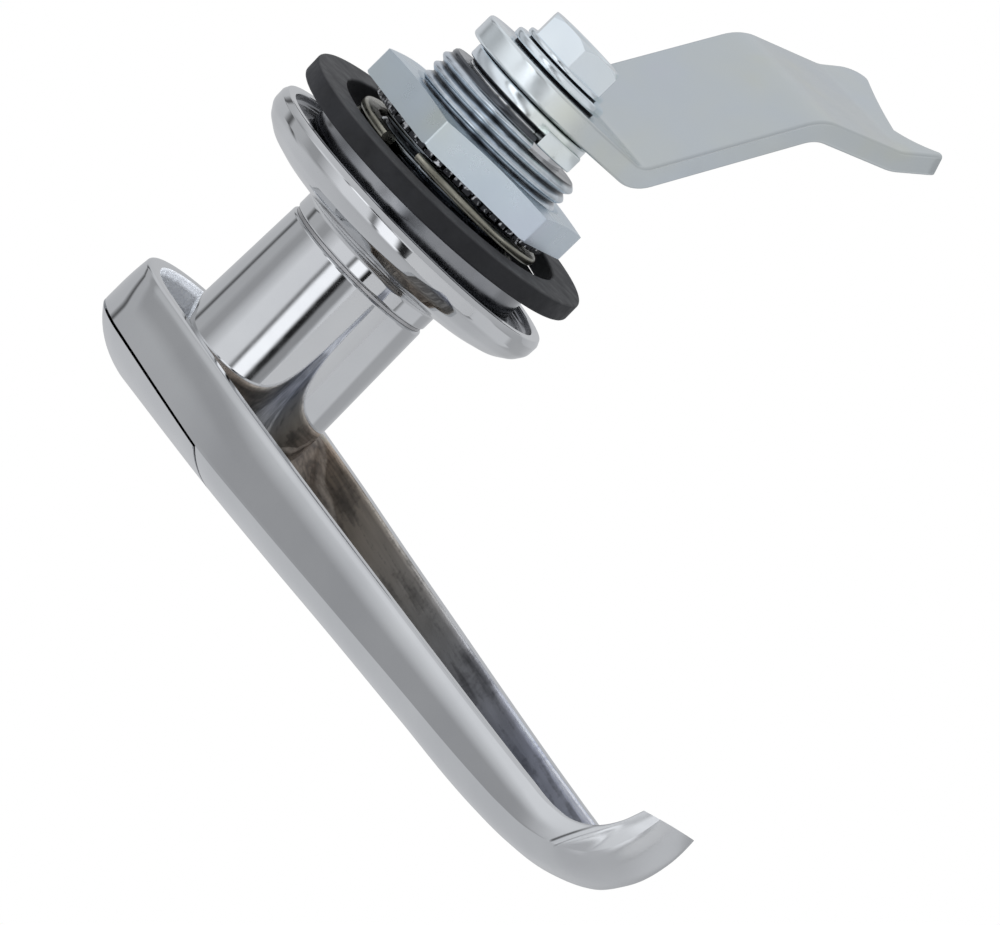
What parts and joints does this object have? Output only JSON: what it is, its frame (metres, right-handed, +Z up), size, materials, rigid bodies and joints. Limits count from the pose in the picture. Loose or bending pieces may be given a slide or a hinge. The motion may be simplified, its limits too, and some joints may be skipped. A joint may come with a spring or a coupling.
{
  "type": "cabinet handle lock",
  "caption": "L-shaped chrome cabinet door handle with a swinging keyhole cover, round flange, threaded barrel and a cranked cam that turns behind the door.",
  "frame": {"origin": "on the lock axis, in the plane of the flange's back rim, where the flange meets the door's outer face", "axes": "+Y along the lock axis from the handle in front of the door to the cam behind it, +Z up; the arm hangs along -Z and the cam points along -X when shut"},
  "size_m": [0.0677, 0.0877, 0.1081],
  "materials": {
    "chrome": "polished chrome plate",
    "zinc": "bright zinc plate with a faint blue-yellow tint",
    "nickel": "dull nickel spring steel",
    "steel": "machined steel",
    "brass": "machined brass",
    "rubber": "black moulded rubber"
  },
  "bodies": {
    "housing": {"flange": "chrome", "threaded_barrel": "zinc", "panel_gasket": "rubber", "spring_ring": "nickel", "mounting_nut": "zinc", "neck_washer": "steel"},
    "handle": {"handle": "chrome", "cylinder_sleeve": "brass", "shaft_seal": "rubber", "stop_washer": "zinc", "cam": "zinc", "cam_washer": "zinc", "cam_bolt": "zinc", "cover_spring_washer": "steel", "cover_detent_ball": "steel", "cover_detent_spring": "steel"},
    "cover": {"cover_plate": "chrome", "cover_pivot_screw": "steel"},
    "key_plug": {"key_plug": "brass", "wafers": "brass", "wafer_springs": "steel", "plug_clip": "steel"},
    "locking_bolt": {"locking_bolt": "steel"}
  },
  "joints": [
    {"name": "handle_turn", "type": "hinge", "parent": "housing", "child": "handle", "pos_m": [0, 0, 0], "axis": [0, 1, 0], "range_deg": [0, 90]},
    {"name": "cover_swing", "type": "hinge", "parent": "handle", "child": "cover", "pos_m": [0, -0.034, 0.0148], "axis": [0, 1, 0], "range_deg": [0, 100]},
    {"name": "plug_turn", "type": "hinge", "parent": "handle", "child": "key_plug", "pos_m": [0, 0, 0], "axis": [0, -1, 0], "range_deg": [0, 90]},
    {"name": "bolt_slide", "type": "slide", "parent": "handle", "child": "locking_bolt", "axis": [0, 0, 1], "range_m": [0, 0.0017]}
  ],
  "couplings": [
    {"joint": "bolt_slide", "follows": "plug_turn", "m_per_rad": 0.001082}
  ]
}
